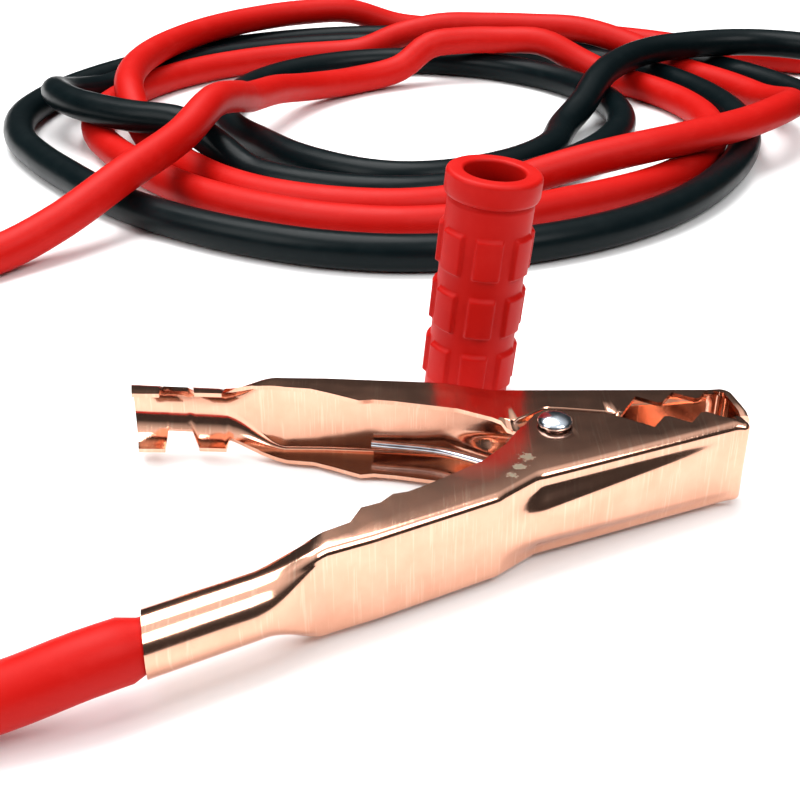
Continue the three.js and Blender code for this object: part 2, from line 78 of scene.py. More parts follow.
@dataclass(frozen=True)
class ClampSizes:
    """Sizes that all four clamps share."""

    sheet: float = 0.8
    clearance: float = 0.3
    height: float = 17.0
    jaw_reach: float = 34.5
    handle_reach: float = 73.0
    crimp_half_width: float = 33.3
    tail_half_width: float = 38.5
    tip_half_width: float = 6.5
    pivot_half_width: float = 13.6
    waist_half_width: float = 19.7
    shoulder_half_width: float = 26.1
    scoop_end: float = 7.5
    waist_place: float = 15.5
    shoulder_place: float = 37.0
    bend_radius: float = 1.6
    strip_half_height: float = 1.5
    strip_flare: float = 1.6
    lip_radius: float = 2.6
    lip_meeting: float = -2.5
    tooth_pitch: float = 7.1
    tooth_depth: float = 3.0
    first_tooth: float = 20.4
    tooth_land: float = 1.0
    mouth_start: float = 11.0
    mouth_centre: float = 0.9
    mouth_half_gap: float = 2.45
    ear_reach: float = 5.3
    flange_depth: float = 8.8
    joggle_run: float = 0.7
    joggle_gap: float = 0.15
    crimp_radius: float = 5.2
    crimp_seam: float = 24.0
    crimp_length: float = 17.0
    crimp_blend: float = 11.0
    cradle_radius: float = 6.2
    tab_length: float = 8.4
    tab_width: float = 6.0
    tab_notch: float = 4.5
    shank_radius: float = 2.0
    head_radius: float = 3.1
    head_height: float = 1.5
    foot_height: float = 0.8
    wire_radius: float = 0.85
    spring_radius: float = 4.6
    spring_turns: int = 5
    spring_pitch: float = 1.75
    leg_reach: float = 28.8


@dataclass(frozen=True)
class Clamp:
    """One clamp: where its pivot is on the floor plan, its turn and what it wears."""

    name: str
    pivot: tuple[float, float]
    turn: float
    height: float
    vinyl: str | None = None

    @property
    def inner_body(self) -> str:
        """The moving body that its inner jaw is."""
        return f"{self.name}_inner_jaw_body"

    def matrix(self) -> Matrix:
        """Clamp frame to floor plan, in millimetres."""
        turned = Matrix.Rotation(math.radians(self.turn), 4, "Z")
        return Matrix.Translation((*self.pivot, self.height)) @ turned


@dataclass(frozen=True)
class SleeveSizes:
    """The grip sleeve as it comes off a handle."""

    rim_radius: float = 9.6
    body_radius: float = 8.75
    length: float = 50.0
    mouth_radius: float = 6.1
    bore_radius: float = 7.2
    mouth_depth: float = 5.0
    collar: float = 5.5
    rows: int = 3
    pads_round: int = 7
    pad_length: float = 8.4
    pad_pitch: float = 12.6
    pad_start: float = 11.5
    pad_arc: float = 34.0
    pad_height: float = 0.85
    pad_turn: float = 0.0
    squash: tuple[float, float] = (1.0, 1.0)
    squareness: float = 2.0


@dataclass(frozen=True)
class Lift:
    """A stretch of a coil that lies on another strand, in degrees travelled."""

    start: float
    end: float
    ramp_in: float = 24.0
    ramp_out: float = 24.0

    def share(self, travel: float) -> float:
        """How much of a full rise the strand has there."""
        rise = smooth((travel - self.start + self.ramp_in) / self.ramp_in)
        return rise * smooth((self.end + self.ramp_out - travel) / self.ramp_out)


@dataclass(frozen=True)
class Coil:
    """The turns of one cable: [degrees travelled, radius] pairs from a first angle."""

    first_angle: float
    way: int
    radii: Pairs
    lifts: Sequence[Lift]


@dataclass(frozen=True)
class Cable:
    """One cable from one clamp to the other."""

    name: str
    vinyl: str
    start: Clamp
    end: Clamp
    lead_in: Sequence[Place]
    coil: Coil
    lead_out: Sequence[Place]
    nodes: Sequence[str]
    carried: Sequence[str] = field(default=())


SIZES = ClampSizes()
SLEEVE = SleeveSizes(length=51.0, pad_turn=13.0)
FITTED_SLEEVE = SleeveSizes(rows=2, length=37.4, squash=(0.9, 1.2), squareness=5.0, pad_height=0.7,
                            bore_radius=7.75, mouth_radius=7.65, rim_radius=9.3)
FITTED_START = 40.0
FITTED_AXIS = 23.0
FITTED_HEIGHT = 11.5

RED_NEAR = Clamp("red_near", (27.3, -37.9), 12.0, 9.6)
RED_FAR = Clamp("red_far", (300.0, 127.0), -90.0, FITTED_HEIGHT, "red_vinyl")
BLACK_FAR = Clamp("black_far", (209.0, 127.0), -90.0, FITTED_HEIGHT, "black_vinyl")
BLACK_NEAR = Clamp("black_near", (186.0, -13.0), -90.0, FITTED_HEIGHT, "black_vinyl")
CLAMPS = (RED_NEAR, RED_FAR, BLACK_FAR, BLACK_NEAR)

LOOSE_SLEEVE_PLACE = (13.7, 5.0)
LOOSE_SLEEVE_LEAN = 5.4
SLID_SLEEVE_START = (-153.0, -62.0)

CORD_RADIUS = 5.0
NECK_RADIUS = 4.0
NECK_LENGTH = 11.5
FLOOR_CENTRE = 5.05
CROSSING_RISE = 10.35
COIL_CENTRE = (0.0, 187.0)
COIL_STEP = 10.0

RED_CABLE = Cable(
    name="red_cable",
    vinyl="red_vinyl",
    start=RED_NEAR,
    end=RED_FAR,
    lead_in=(
        (-56.4, -94.4, 7.4), (-72, -99.5, 5.8), (-92, -103, 5.1), (-112, -102, 5.1), (-130, -95, 5.6),
        (-144, -82, 7.2), (-151, -68, 8.6), (-153, -60, 8.9), (-153, -37, 8.9), (-153, -12, 8.9),
        (-150, 6, 8.3), (-143, 24, 6.6), (-131, 41, 5.3), (-117, 55, 5.1), (-103, 68, 5.6), (-90, 81, 9.5),
        (-77, 98, 15.4), (-64, 122, 19.5), (-57, 143, 23.5), (-52, 163, 19.5), (-50, 176, 15.6),
        (-43, 198, 12), (-33, 218, 7.5), (-17, 235, 5.3),
    ),
    coil=Coil(
        first_angle=90,
        way=-1,
        radii=(
            (0, 58), (30, 79), (60, 96), (90, 105), (120, 102), (150, 95), (180, 97.7), (210, 94.5),
            (240, 95), (270, 104), (300, 102), (330, 96), (360, 91), (390, 106), (420, 125), (450, 133),
            (480, 103.5), (510, 81), (540, 83.7), (570, 83.5), (600, 82), (630, 92), (660, 106),
            (690, 121), (720, 130),
        ),
        lifts=(Lift(14, 40, 20, 18), Lift(369, 400), Lift(462, 482, 25, 52), Lift(634, 706, 26, 20)),
    ),
    lead_out=(
        (30, 316, 5.4), (70, 309, 5.4), (102, 296, 5.4), (130, 277, 5.4), (165, 262, 5.4),
        (210, 250, 5.4), (245, 230, 5.8),
    ),
    nodes=("red_cable_front", "red_cable_back", "red_cable_coil"),
    carried=("slid_grip_sleeve",),
)
BLACK_CABLE = Cable(
    name="black_cable",
    vinyl="black_vinyl",
    start=BLACK_NEAR,
    end=BLACK_FAR,
    lead_in=(
        (148, 80, 8), (147, 100, 5.6), (149, 125, 5.1), (152, 155, 5.1), (152, 185, 5.1), (146, 215, 5.1),
        (132, 243, 5.1), (110, 267, 5.1), (82, 285, 5.1), (50, 298, 5.1), (20, 304, 5.1),
    ),
    coil=Coil(
        first_angle=90,
        way=1,
        radii=(
            (0, 117), (30, 119), (60, 124), (90, 130), (120, 116), (150, 113.5), (180, 117.5), (210, 116),
            (240, 114), (270, 116), (300, 113), (330, 107), (360, 104), (390, 107.5), (420, 112.5),
            (450, 117), (465, 99), (480, 78), (495, 72.5), (510, 72), (540, 73), (570, 70), (600, 71),
            (630, 76), (660, 78), (690, 78), (720, 78), (750, 74), (780, 67), (810, 60), (840, 52),
            (870, 54), (900, 60), (930, 59), (960, 57),
        ),
        lifts=(Lift(455, 478, 25, 26),),
    ),
    lead_out=((55, 177, 5.6), (63, 190, 9.5), (70, 205, 13.8), (80, 222, 15.4), (100, 243, 15.4),
              (135, 252, 15.4), (160, 240, 15.4), (172, 222, 13)),
    nodes=("black_cable_front", "black_cable_back", "black_cable_coil"),
)


def smooth(share: float) -> float:
    """Ease from 0 to 1.

    Args:
        share: Progress, which may lie outside 0 to 1.

    Returns:
        The eased progress.
    """
    t = min(1.0, max(0.0, share))
    return t * t * (3 - 2 * t)


def along(pairs: Pairs, x: float) -> float:
    """Straight-line value between listed pairs.

    Args:
        pairs: (x, value) pairs, x rising.
        x: Where the value is wanted.

    Returns:
        The value there, or the nearest end's where x is outside the list.
    """
    if x <= pairs[0][0]:
        return pairs[0][1]
    for (x0, v0), (x1, v1) in zip(pairs, pairs[1:]):
        if x <= x1:
            return v0 + (v1 - v0) * (x - x0) / (x1 - x0)
    return pairs[-1][1]


def curve_through(points: Sequence[Vector], step: float) -> list[Vector]:
    """Points on a centripetal Catmull-Rom curve through the given ones.

    Args:
        points: The points that the curve passes through.
        step: Largest spacing of the result.

    Returns:
        The closer points, first and last included.
    """
    padded = [2 * points[0] - points[1], *points, 2 * points[-1] - points[-2]]
    result = []
    for p0, p1, p2, p3 in zip(padded, padded[1:], padded[2:], padded[3:]):
        t1 = (p1 - p0).length ** 0.5
        t2 = t1 + (p2 - p1).length ** 0.5
        t3 = t2 + (p3 - p2).length ** 0.5
        count = max(1, math.ceil((p2 - p1).length / step))
        for k in range(count):
            t = t1 + (t2 - t1) * k / count
            a1 = p0 * ((t1 - t) / t1) + p1 * (t / t1)
            a2 = p1 * ((t2 - t) / (t2 - t1)) + p2 * ((t - t1) / (t2 - t1))
            a3 = p2 * ((t3 - t) / (t3 - t2)) + p3 * ((t - t2) / (t3 - t2))
            b1 = a1 * ((t2 - t) / t2) + a2 * (t / t2)
            b2 = a2 * ((t3 - t) / (t3 - t1)) + a3 * ((t - t1) / (t3 - t1))
            result.append(b1 * ((t2 - t) / (t2 - t1)) + b2 * ((t - t1) / (t2 - t1)))
    result.append(points[-1].copy())
    return result


class Shop:
    """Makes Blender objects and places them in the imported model's frame."""

    def __init__(self) -> None:
        """Find the floor plan's place in the model's frame, from the bare clamp's rivet."""
        low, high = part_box("red_near_rivet")
        centre = (Vector(low) + Vector(high)) / 2
        self.shift = Vector((centre.x - RED_NEAR.pivot[0] * MM, centre.y - RED_NEAR.pivot[1] * MM, 0.0))
        self.finishes: dict[str, bpy.types.Material] = {}

    def place(self, matrix: Matrix) -> Matrix:
        """Millimetres of the floor plan to the model's frame."""
        return Matrix.Translation(self.shift) @ Matrix.Scale(MM, 4) @ matrix

    def mesh(self, name: str, points: Sequence[Vector], faces: Sequence[Sequence[int]],
             matrix: Matrix, finish: str, sharp: float = 40.0) -> bpy.types.Object:
        """Add a smooth-shaded mesh object.

        Args:
            name: The piece's name.
            points: Corners in the piece's own frame.
            faces: Corner numbers of each face.
            matrix: Own frame to floor plan.
            finish: Name of its material.
            sharp: Edges over this angle, in degrees, stay crisp.

        Returns:
            The object, at the frame's origin.
        """
        data = bpy.data.meshes.new(name)
        whole = self.place(matrix)
        data.from_pydata([whole @ p for p in points], [], faces)
        data.validate()
        data.shade_smooth()
        obj = bpy.data.objects.new(name, data)
        bpy.context.collection.objects.link(obj)
        bpy.ops.object.select_all(action="DESELECT")
        bpy.context.view_layer.objects.active = obj
        obj.select_set(True)
        bpy.ops.object.mode_set(mode="EDIT")
        bpy.ops.mesh.select_all(action="SELECT")
        bpy.ops.mesh.normals_make_consistent(inside=False)
        bpy.ops.object.mode_set(mode="OBJECT")
        data.set_sharp_from_angle(angle=math.radians(sharp))
        self.finish(obj, finish)
        return obj

    def finish(self, obj: bpy.types.Object, finish: str) -> None:
        """Give a piece the material kept under its finish's name."""
        obj.data.materials.append(self.finishes[finish])

    def wire(self, name: str, points: Sequence[Vector], radius: float, matrix: Matrix, finish: str,
             radii: Sequence[float] | None = None, sides: int = 5) -> bpy.types.Object:
        """Add a round wire along points.

        Args:
            name: The piece's name.
            points: Its centre line in its own frame.
            radius: Its radius.
            matrix: Own frame to floor plan.
            finish: Name of its material.
            radii: A factor on the radius at each point, or None for a plain wire.
            sides: Blender's bevel resolution.

        Returns:
            The curve object, at the frame's origin.
        """
        data = bpy.data.curves.new(name, "CURVE")
        data.dimensions = "3D"
        data.bevel_depth = radius * MM
        data.bevel_resolution = sides
        data.use_fill_caps = True
        spline = data.splines.new("POLY")
        spline.points.add(len(points) - 1)
        whole = self.place(matrix)
        for k, point in enumerate(points):
            spline.points[k].co = (*(whole @ point), 1.0)
            spline.points[k].radius = radii[k] if radii else 1.0
        spline.use_smooth = True
        obj = bpy.data.objects.new(name, data)
        bpy.context.collection.objects.link(obj)
        self.finish(obj, finish)
        return obj

    def revolved(self, name: str, profile: Pairs, matrix: Matrix, finish: str,
                 steps: int = 64) -> bpy.types.Object:
        """Add a turned piece.

        Args:
            name: The piece's name.
            profile: (radius, height) points whose ends lie on the axis.
            matrix: Own frame to floor plan.
            finish: Name of its material.
            steps: Points round it.

        Returns:
            The object, with its poles welded.
        """
        points = []
        for radius, height in profile:
            for k in range(steps):
                a = 2 * math.pi * k / steps
                points.append(Vector((radius * math.cos(a), radius * math.sin(a), height)))
        faces = rows_of_quads(len(profile), steps)
        obj = self.mesh(name, points, faces, matrix, finish, sharp=50)
        weld = obj.modifiers.new("Weld", "WELD")
        weld.merge_threshold = 0.01 * MM
        return obj


def rows_of_quads(rows: int, columns: int, closed: bool = False) -> list[tuple[int, ...]]:
    """Faces between rows of points, each row a closed ring.

    Args:
        rows: How many rows there are.
        columns: Points in each row.
        closed: Whether the last row joins the first.

    Returns:
        The corner numbers of each face.
    """
    faces = []
    for i in range(rows if closed else rows - 1):
        j = (i + 1) % rows
        for k in range(columns):
            n = (k + 1) % columns
            faces.append((i * columns + k, i * columns + n, j * columns + n, j * columns + k))
    return faces


class Jaw:
    """The pressed jaw of a clamp, lofted through sections across the clamp."""

    def __init__(self, side: Side, step: float) -> None:
        """Work out the lines that the jaw's bends and edges follow.

        Args:
            side: Which jaw it is.
            step: Spacing of its sections along the clamp.
        """
        self.side = side
        self.step = step
        s = SIZES
        self.inset = 0.0 if side is Side.OUTER else s.sheet + s.clearance
        self.bend_line = (
            (-s.handle_reach, s.tail_half_width),
            (-s.handle_reach + s.crimp_length, s.crimp_half_width),
            (-s.handle_reach + s.crimp_length + s.crimp_blend, s.shoulder_half_width + 1.9),
            (-s.shoulder_place, s.shoulder_half_width),
            (-s.waist_place, s.waist_half_width),
            (-s.scoop_end, s.pivot_half_width + 1.5),
            (0.0, s.pivot_half_width),
            (s.jaw_reach, s.tip_half_width),
        )
        self.strip_line = ((-s.waist_place, s.waist_half_width), (s.jaw_reach, s.tip_half_width))
        # How far the outer jaw's ears reach over the inner jaw, at any place of its swing.
        self.ear_sweep = (
            (-20.0, -30.0), (-11.1, 0.8), (-4.7, 3.1), (-0.5, 4.9), (0.3, s.ear_reach), (3.2, 4.4),
            (s.mouth_start, 1.5), (16.85, -4.3),
        )
        self.edges = self.flange_edges()

    def wave(self) -> list[tuple[float, float]]:
        """Flange depth behind the waist, where the edge waves.

        Returns:
            (x, depth) pairs, x rising.
        """
        s = SIZES
        steps = ((3.4, 5.4), (1.0, 8.4), (-2.3, s.flange_depth - 0.6), (-4.7, s.flange_depth + 0.6),
                 (-7.2, s.flange_depth), (-10.9, s.flange_depth + 0.3))
        return [(-(s.shoulder_place + back), depth) for back, depth in steps]

    def flange_edges(self) -> list[tuple[float, float]]:
        """Depth of the flanges from the bends, from the tail to the tip.

        Returns:
            (x, depth) pairs, x rising.
        """
        s = SIZES
        ear = [(-s.waist_place, -s.waist_half_width + 10.9), (-10.2, -4.5), (-5.6, 0.5), (-2.6, 3.9),
               (0.0, s.ear_reach), (3.2, s.ear_reach - 1.2), (s.mouth_start, s.mouth_centre + s.clearance)]
        outer = self.side is Side.OUTER
        top = (s.mouth_centre if outer else -s.mouth_centre) - s.mouth_half_gap
        teeth = []
        for n in range(3):
            peak = s.first_tooth + (0.0 if outer else 0.8) + n * s.tooth_pitch
            teeth.append((peak - s.tooth_pitch / 2, top - s.tooth_depth))
            if peak + s.tooth_land / 2 < s.jaw_reach - s.lip_radius:
                teeth.append((peak - s.tooth_land / 2, top))
                teeth.append((peak + s.tooth_land / 2, top))
        front = [(x, along(self.bend_line, x) + edge) for x, edge in ear + teeth]
        if outer:
            tail = [(-s.handle_reach + s.crimp_length + s.crimp_blend - 2, 4.6), *self.wave()]
            tip = [(s.jaw_reach - s.lip_radius - 0.6, 2.4), (s.jaw_reach, 2.0)]
            return tail + front + tip
        pair = -s.handle_reach + s.tab_width
        tabs = [(-s.handle_reach, s.tab_length), (pair - 1, s.tab_length - 0.4), (pair, 2.4),
                (pair + s.tab_notch, 2.4), (pair + s.tab_notch + 1, s.tab_length - 1.4),
                (pair + s.tab_notch + s.tab_width, s.tab_length - 1.6),
                (pair + s.tab_notch + s.tab_width + 1, 3.6)]
        wave = self.wave()
        tip = [(s.jaw_reach - s.lip_radius + 0.6, 2.2), (s.jaw_reach, 2.0)]
        return tabs + wave[:1] + wave[2:] + front + tip

    @staticmethod
    def half_section(half_height: float, radius: float, depth: float, scoop: float, strip: float,
                     joggle: float, joggle_place: float, inset: float) -> list[tuple[float, float]]:
        """Half a channel section, from the flange's free edge to the middle, as (inward, up).

        Args:
            half_height: Centre plane to the outside of the flange.
            radius: Outside radius of the bend.
            depth: Bend's outside to the flange's free edge.
            scoop: How far the bend is set in from the strip.
            strip: Half height of the flat strip.
            joggle: How far the flange steps down towards its free edge.
            joggle_place: Where the step starts, from the end of the bend.
            inset: 0 for the outer face, or the sheet's thickness for the inner one.

        Returns:
            The section's points.
        """
        r = max(0.25, radius - inset)
        full = math.acos(max(-0.2, 1 - max(0.5, depth - 0.25 - inset * 0.2) / radius))
        angle = min(math.pi / 2, full)
        square = angle >= math.pi / 2
        reach = max(0.2, depth - radius) * (1.0 if square else 0.2)
        end = (scoop + radius - r * math.cos(angle), half_height - radius + r * math.sin(angle))
        points = []
        first = min(joggle_place, reach * 0.8)
        run = min(SIZES.joggle_run, (reach - first) * 0.6)
        quarters = [first + run * share for share in (1.0, 0.75, 0.5, 0.25)]
        for place in (reach, *quarters, first, first / 2):
            step_down = joggle * smooth((place - joggle_place) / SIZES.joggle_run)
            points.append((end[0] + place * math.sin(angle), end[1] + place * math.cos(angle) - step_down))
        for k in range(8):
            a = angle * (1 - k / 7)
            points.append((scoop + radius - r * math.cos(a), half_height - radius + r * math.sin(a)))
        low = half_height - radius
        for k in range(1, 8):
            share = k / 7
            points.append((scoop * (1 - smooth(share)) + inset, low + (strip - low) * share))
        points.append((inset, strip * 0.4))
        return points

    def ring(self, **size: float) -> list[tuple[float, float]]:
        """A whole section, out along the outer face and back along the inner one.

        Args:
            size: The section's sizes, as half_section takes them.

        Returns:
            (inward, up) points.
        """
        faces = []
        for inset in (0.0, SIZES.sheet):
            half = self.half_section(inset=inset, **size)
            faces.append(half + [(q, -z) for q, z in reversed(half)])
        return faces[0] + faces[1][::-1]

    @staticmethod
    def tube_ring(count: int) -> list[tuple[float, float]]:
        """The closed crimp's section.

        Args:
            count: Points in a channel's section, which it matches.

        Returns:
            (inward, up) points.
        """
        s = SIZES
        faces = []
        for radius in (s.crimp_radius, s.crimp_radius - s.sheet):
            face = []
            for k in range(count // 2):
                a = math.radians(180 - s.crimp_seam) * (1 - 2 * k / (count // 2 - 1))
                face.append((s.crimp_radius - radius * math.cos(a), radius * math.sin(a)))
            faces.append(face)
        return faces[0] + faces[1][::-1]

    def station(self, x: float) -> list[Vector]:
        """The section at a place along the clamp.

        Args:
            x: The place, from the pivot.

        Returns:
            Its corners in the clamp's frame.
        """
        s = SIZES
        blend_end = -s.handle_reach + s.crimp_length + s.crimp_blend
        tail = smooth((blend_end - x) / s.crimp_blend)
        half_height = s.height / 2
        covered = along(self.ear_sweep, x) + s.joggle_gap + s.joggle_run
        joggle_place = max(0.1, along(self.bend_line, x) - covered - s.bend_radius)
        wide = half_height - s.bend_radius - 0.6
        strip = wide if x <= -s.waist_place - 6 else along(
            ((-s.waist_place - 6, wide), (-s.waist_place, s.strip_half_height),
             (s.jaw_reach, half_height - s.bend_radius - s.strip_flare)), x)
        scoop = 0.0 if x <= -s.waist_place else max(0.0, along(self.strip_line, x) - along(self.bend_line, x))
        size = dict(half_height=half_height, radius=s.bend_radius, depth=along(self.edges, x), scoop=scoop,
                    strip=strip, joggle=self.inset, joggle_place=joggle_place)
        if self.side is Side.INNER and tail > 0:
            size["half_height"] = half_height + (s.cradle_radius + 0.3 - half_height) * tail
            size["radius"] = s.bend_radius + (s.cradle_radius - s.bend_radius) * tail
            size["strip"] = 0.15 + (strip - 0.15) * (1 - tail)
        ring = self.ring(**size)
        if self.side is Side.OUTER and tail > 0:
            tube = self.tube_ring(len(ring))
            ring = [(q + (tq - q) * tail, z + (tz - z) * tail) for (q, z), (tq, tz) in zip(ring, tube)]
        web = along(self.bend_line if x <= -s.waist_place else self.strip_line, x)
        return [Vector((x, self.side.value * (web - q), z)) for q, z in ring]

    def lip(self) -> list[list[Vector]]:
        """The sections that turn the web round the front of the mouth.

        Returns:
            Their corners, section by section.
        """
        s = SIZES
        outer = self.side is Side.OUTER
        last = s.jaw_reach - s.lip_radius
        bend = 1.5 if outer else s.lip_radius
        half_height = s.height / 2 - 0.4
        size = dict(radius=1.1, depth=1.9, scoop=0.0, strip=half_height - s.bend_radius - s.strip_flare,
                    joggle=0.0, joggle_place=0.1)
        centre = (last + (0.0 if outer else 1.8) + s.lip_radius - bend, along(self.strip_line, last) - bend)
        stations = []
        for k in range(10):
            a = math.radians(90 * k / 9)
            ring = self.ring(half_height=half_height, **size)
            stations.append([
                Vector((centre[0] + (bend - q) * math.sin(a),
                        self.side.value * (centre[1] + (bend - q) * math.cos(a)), z))
                for q, z in ring
            ])
        meeting = s.lip_meeting * self.side.value + s.clearance / 2
        for share, low in ((0.5, 0.1), (0.85, 0.3), (1.0, 0.9)):
            ring = self.ring(half_height=half_height - low, **size)
            level = centre[1] + (meeting - centre[1]) * share
            front = [Vector((centre[0] + bend - q, self.side.value * level, z)) for q, z in ring]
            stations.append(front)
        return stations

    def build(self) -> tuple[list[Vector], list[tuple[int, ...]]]:
        """Loft the jaw.

        Returns:
            Its corners and faces in the clamp's frame.
        """
        s = SIZES
        first, last = -s.handle_reach, s.jaw_reach - s.lip_radius
        count = round((last - first) / self.step)
        places = {round(first + (last - first) * k / count, 3) for k in range(count + 1)}
        marks = {round(x, 3) for x, _ in self.edges if first < x < last}
        places = sorted({x for x in places if all(abs(x - m) > self.step * 0.45 for m in marks)} | marks
                        | {first, last})
        stations = [self.station(x) for x in places] + self.lip()
        columns = len(stations[0])
        half = columns // 2
        faces = rows_of_quads(len(stations), columns)
        for start in (0, (len(stations) - 1) * columns):
            for k in range(half - 1):
                faces.append((start + k, start + k + 1, start + columns - 2 - k, start + columns - 1 - k))
        return [p for ring in stations for p in ring], faces


class ClampMaker:
    """Builds one clamp's pieces in place of its CAD nodes."""

    def __init__(self, shop: Shop, clamp: Clamp) -> None:
        """Take the clamp to build.

        Args:
            shop: Makes and places its pieces.
            clamp: Which clamp it is.
        """
        self.shop = shop
        self.clamp = clamp
        self.matrix = clamp.matrix()
        self.step = 0.8 if clamp.vinyl is None else 1.6

    def jaw(self, side: Side) -> bpy.types.Object:
        """One jaw, bored for the rivet, with its cut edges slightly rounded.

        Args:
            side: Which jaw it is.

        Returns:
            The jaw.
        """
        points, faces = Jaw(side, self.step).build()
        word = side.name.lower()
        name = f"{self.clamp.name}_{word}_jaw_sheet"
        obj = self.shop.mesh(name, points, faces, self.matrix, "copper", sharp=38)
        bpy.ops.mesh.primitive_cylinder_add(vertices=32, radius=(SIZES.shank_radius + SIZES.clearance) * MM,
                                            depth=SIZES.height * 1.5 * MM)
        drill = bpy.context.object
        drill.data.transform(Matrix.Translation(self.shop.place(self.matrix).translation))
        cut = obj.modifiers.new("Bore", "BOOLEAN")
        cut.operation = "DIFFERENCE"
        cut.solver = "EXACT"
        cut.object = drill
        bpy.context.view_layer.objects.active = obj
        bpy.ops.object.modifier_apply(modifier=cut.name)
        bpy.data.objects.remove(drill)
        edge = obj.modifiers.new("Worn edges", "BEVEL")
        edge.width = 0.14 * MM
        edge.segments = 2
        edge.limit_method = "ANGLE"
        edge.angle_limit = math.radians(55)
        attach(obj, ROOT_BODY if side is Side.OUTER else self.clamp.inner_body)
        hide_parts(f"{self.clamp.name}_{word}_jaw")
        return obj

    def rivet(self) -> bpy.types.Object:
        """Domed rivet with a flat foot.

        Returns:
            The rivet.
        """
        s = SIZES
        top = s.height / 2 + s.clearance
        foot = -top
        rise = s.head_height - 0.3
        dome = []
        for degrees in range(90, -1, -9):
            a = math.radians(degrees)
            dome.append((s.head_radius * math.sin(a), top + 0.3 + rise * math.cos(a)))
        profile = [(0, foot - s.foot_height), (s.head_radius - 0.3, foot - s.foot_height),
                   (s.head_radius, foot - s.foot_height + 0.25), (s.head_radius, foot),
                   (s.shank_radius, foot), (s.shank_radius, top), (s.head_radius - 0.1, top), *dome]
        obj = self.shop.revolved(f"{self.clamp.name}_rivet_turned", profile, self.matrix, "chrome")
        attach(obj, ROOT_BODY)
        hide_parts(f"{self.clamp.name}_rivet")
        return obj

    def spring(self) -> list[bpy.types.Object]:
        """Torsion spring: coil and upper leg stay with the outer jaw, the lower leg with the inner one.

        Returns:
            The coil with its upper leg, and the lower leg.
        """
        s = SIZES
        bottom = -s.spring_turns * s.spring_pitch / 2
        drop = 0.8
        bend_line = Jaw(Side.OUTER, 1.0).bend_line
        web = along(bend_line, -s.leg_reach) - s.sheet - s.wire_radius - s.clearance
        sweep = s.spring_turns * 360 + 124
        steps = s.spring_turns * 24
        coil = []
        for k in range(steps + 1):
            a = math.radians(118 - sweep * k / steps)
            height = bottom + s.spring_turns * s.spring_pitch * k / steps
            coil.append(Vector((s.spring_radius * math.cos(a), s.spring_radius * math.sin(a), height)))
        low_leg = [Vector((-s.leg_reach, web, bottom - drop)),
                   Vector((-s.leg_reach * 0.55, web * 0.74, bottom - drop)), coil[0], coil[2]]
        top = bottom + s.spring_turns * s.spring_pitch + drop
        high_leg = [Vector((-s.leg_reach * 0.55, -web * 0.74, top)), Vector((-s.leg_reach, -web, top))]
        wound = curve_through(coil + high_leg, 1.5)
        leg = curve_through(low_leg, 1.5)
        body = self.shop.wire(f"{self.clamp.name}_spring_coil", wound, s.wire_radius, self.matrix, "chrome")
        tail = self.shop.wire(f"{self.clamp.name}_spring_leg", leg, s.wire_radius, self.matrix, "chrome")
        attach(body, ROOT_BODY)
        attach(tail, self.clamp.inner_body)
        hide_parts(f"{self.clamp.name}_spring")
        return [body, tail]

    def fitted_sleeve(self, side: Side) -> bpy.types.Object:
        """A grip sleeve on one handle.

        Args:
            side: Whose handle it is on.

        Returns:
            The sleeve.
        """
        crimp_axis = SIZES.tail_half_width - SIZES.crimp_radius
        slope = math.atan2(crimp_axis - FITTED_AXIS, SIZES.handle_reach - FITTED_START)
        sign = side.value
        inward = Vector((math.sin(slope), -sign * math.cos(slope), 0))
        forward = Vector((math.cos(slope), -sign * math.sin(slope), 0))
        end = Vector((-FITTED_START, sign * FITTED_AXIS, 0)) - forward * (FITTED_SLEEVE.length + 0.2)
        basis = Matrix((inward, Vector((0, 0, 1)), forward)).transposed().to_4x4()
        matrix = self.matrix @ Matrix.Translation(end) @ basis
        points, faces = sleeve_mesh(FITTED_SLEEVE, 96, 0.9)
        word = side.name.lower()
        name = f"{self.clamp.name}_{word}_grip"
        obj = self.shop.mesh(name, points, faces, matrix, self.clamp.vinyl, sharp=70)
        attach(obj, ROOT_BODY if side is Side.OUTER else self.clamp.inner_body)
        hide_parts(f"{self.clamp.name}_{word}_sleeve")
        return obj

    def build(self) -> list[bpy.types.Object]:
        """Build all of the clamp's pieces.

        Returns:
            The pieces, in the order made.
        """
        pieces = []
        for side in Side:
            pieces.append(self.jaw(side))
            if self.clamp.vinyl:
                pieces.append(self.fitted_sleeve(side))
        pieces.append(self.rivet())
        return pieces + self.spring()


def pad_share(sizes: SleeveSizes, angle: float, height: float) -> float:
    """How far a pad stands out at a place on a sleeve.

    Args:
        sizes: The sleeve.
        angle: The place round it, in degrees.
        height: The place along it.

    Returns:
        0 between the pads to 1 on one.
    """
    pitch = 360 / sizes.pads_round
    across = abs((angle - sizes.pad_turn + pitch / 2) % pitch - pitch / 2)
    round_share = smooth((sizes.pad_arc / 2 + 1.6 - across) / 3.2)
    best = 0.0
    for row in range(sizes.rows):
        top = sizes.length - sizes.pad_start - row * sizes.pad_pitch
        middle = top - sizes.pad_length / 2
        best = max(best, smooth((sizes.pad_length / 2 + 0.25 - abs(height - middle)) / 0.5))
    return best * round_share


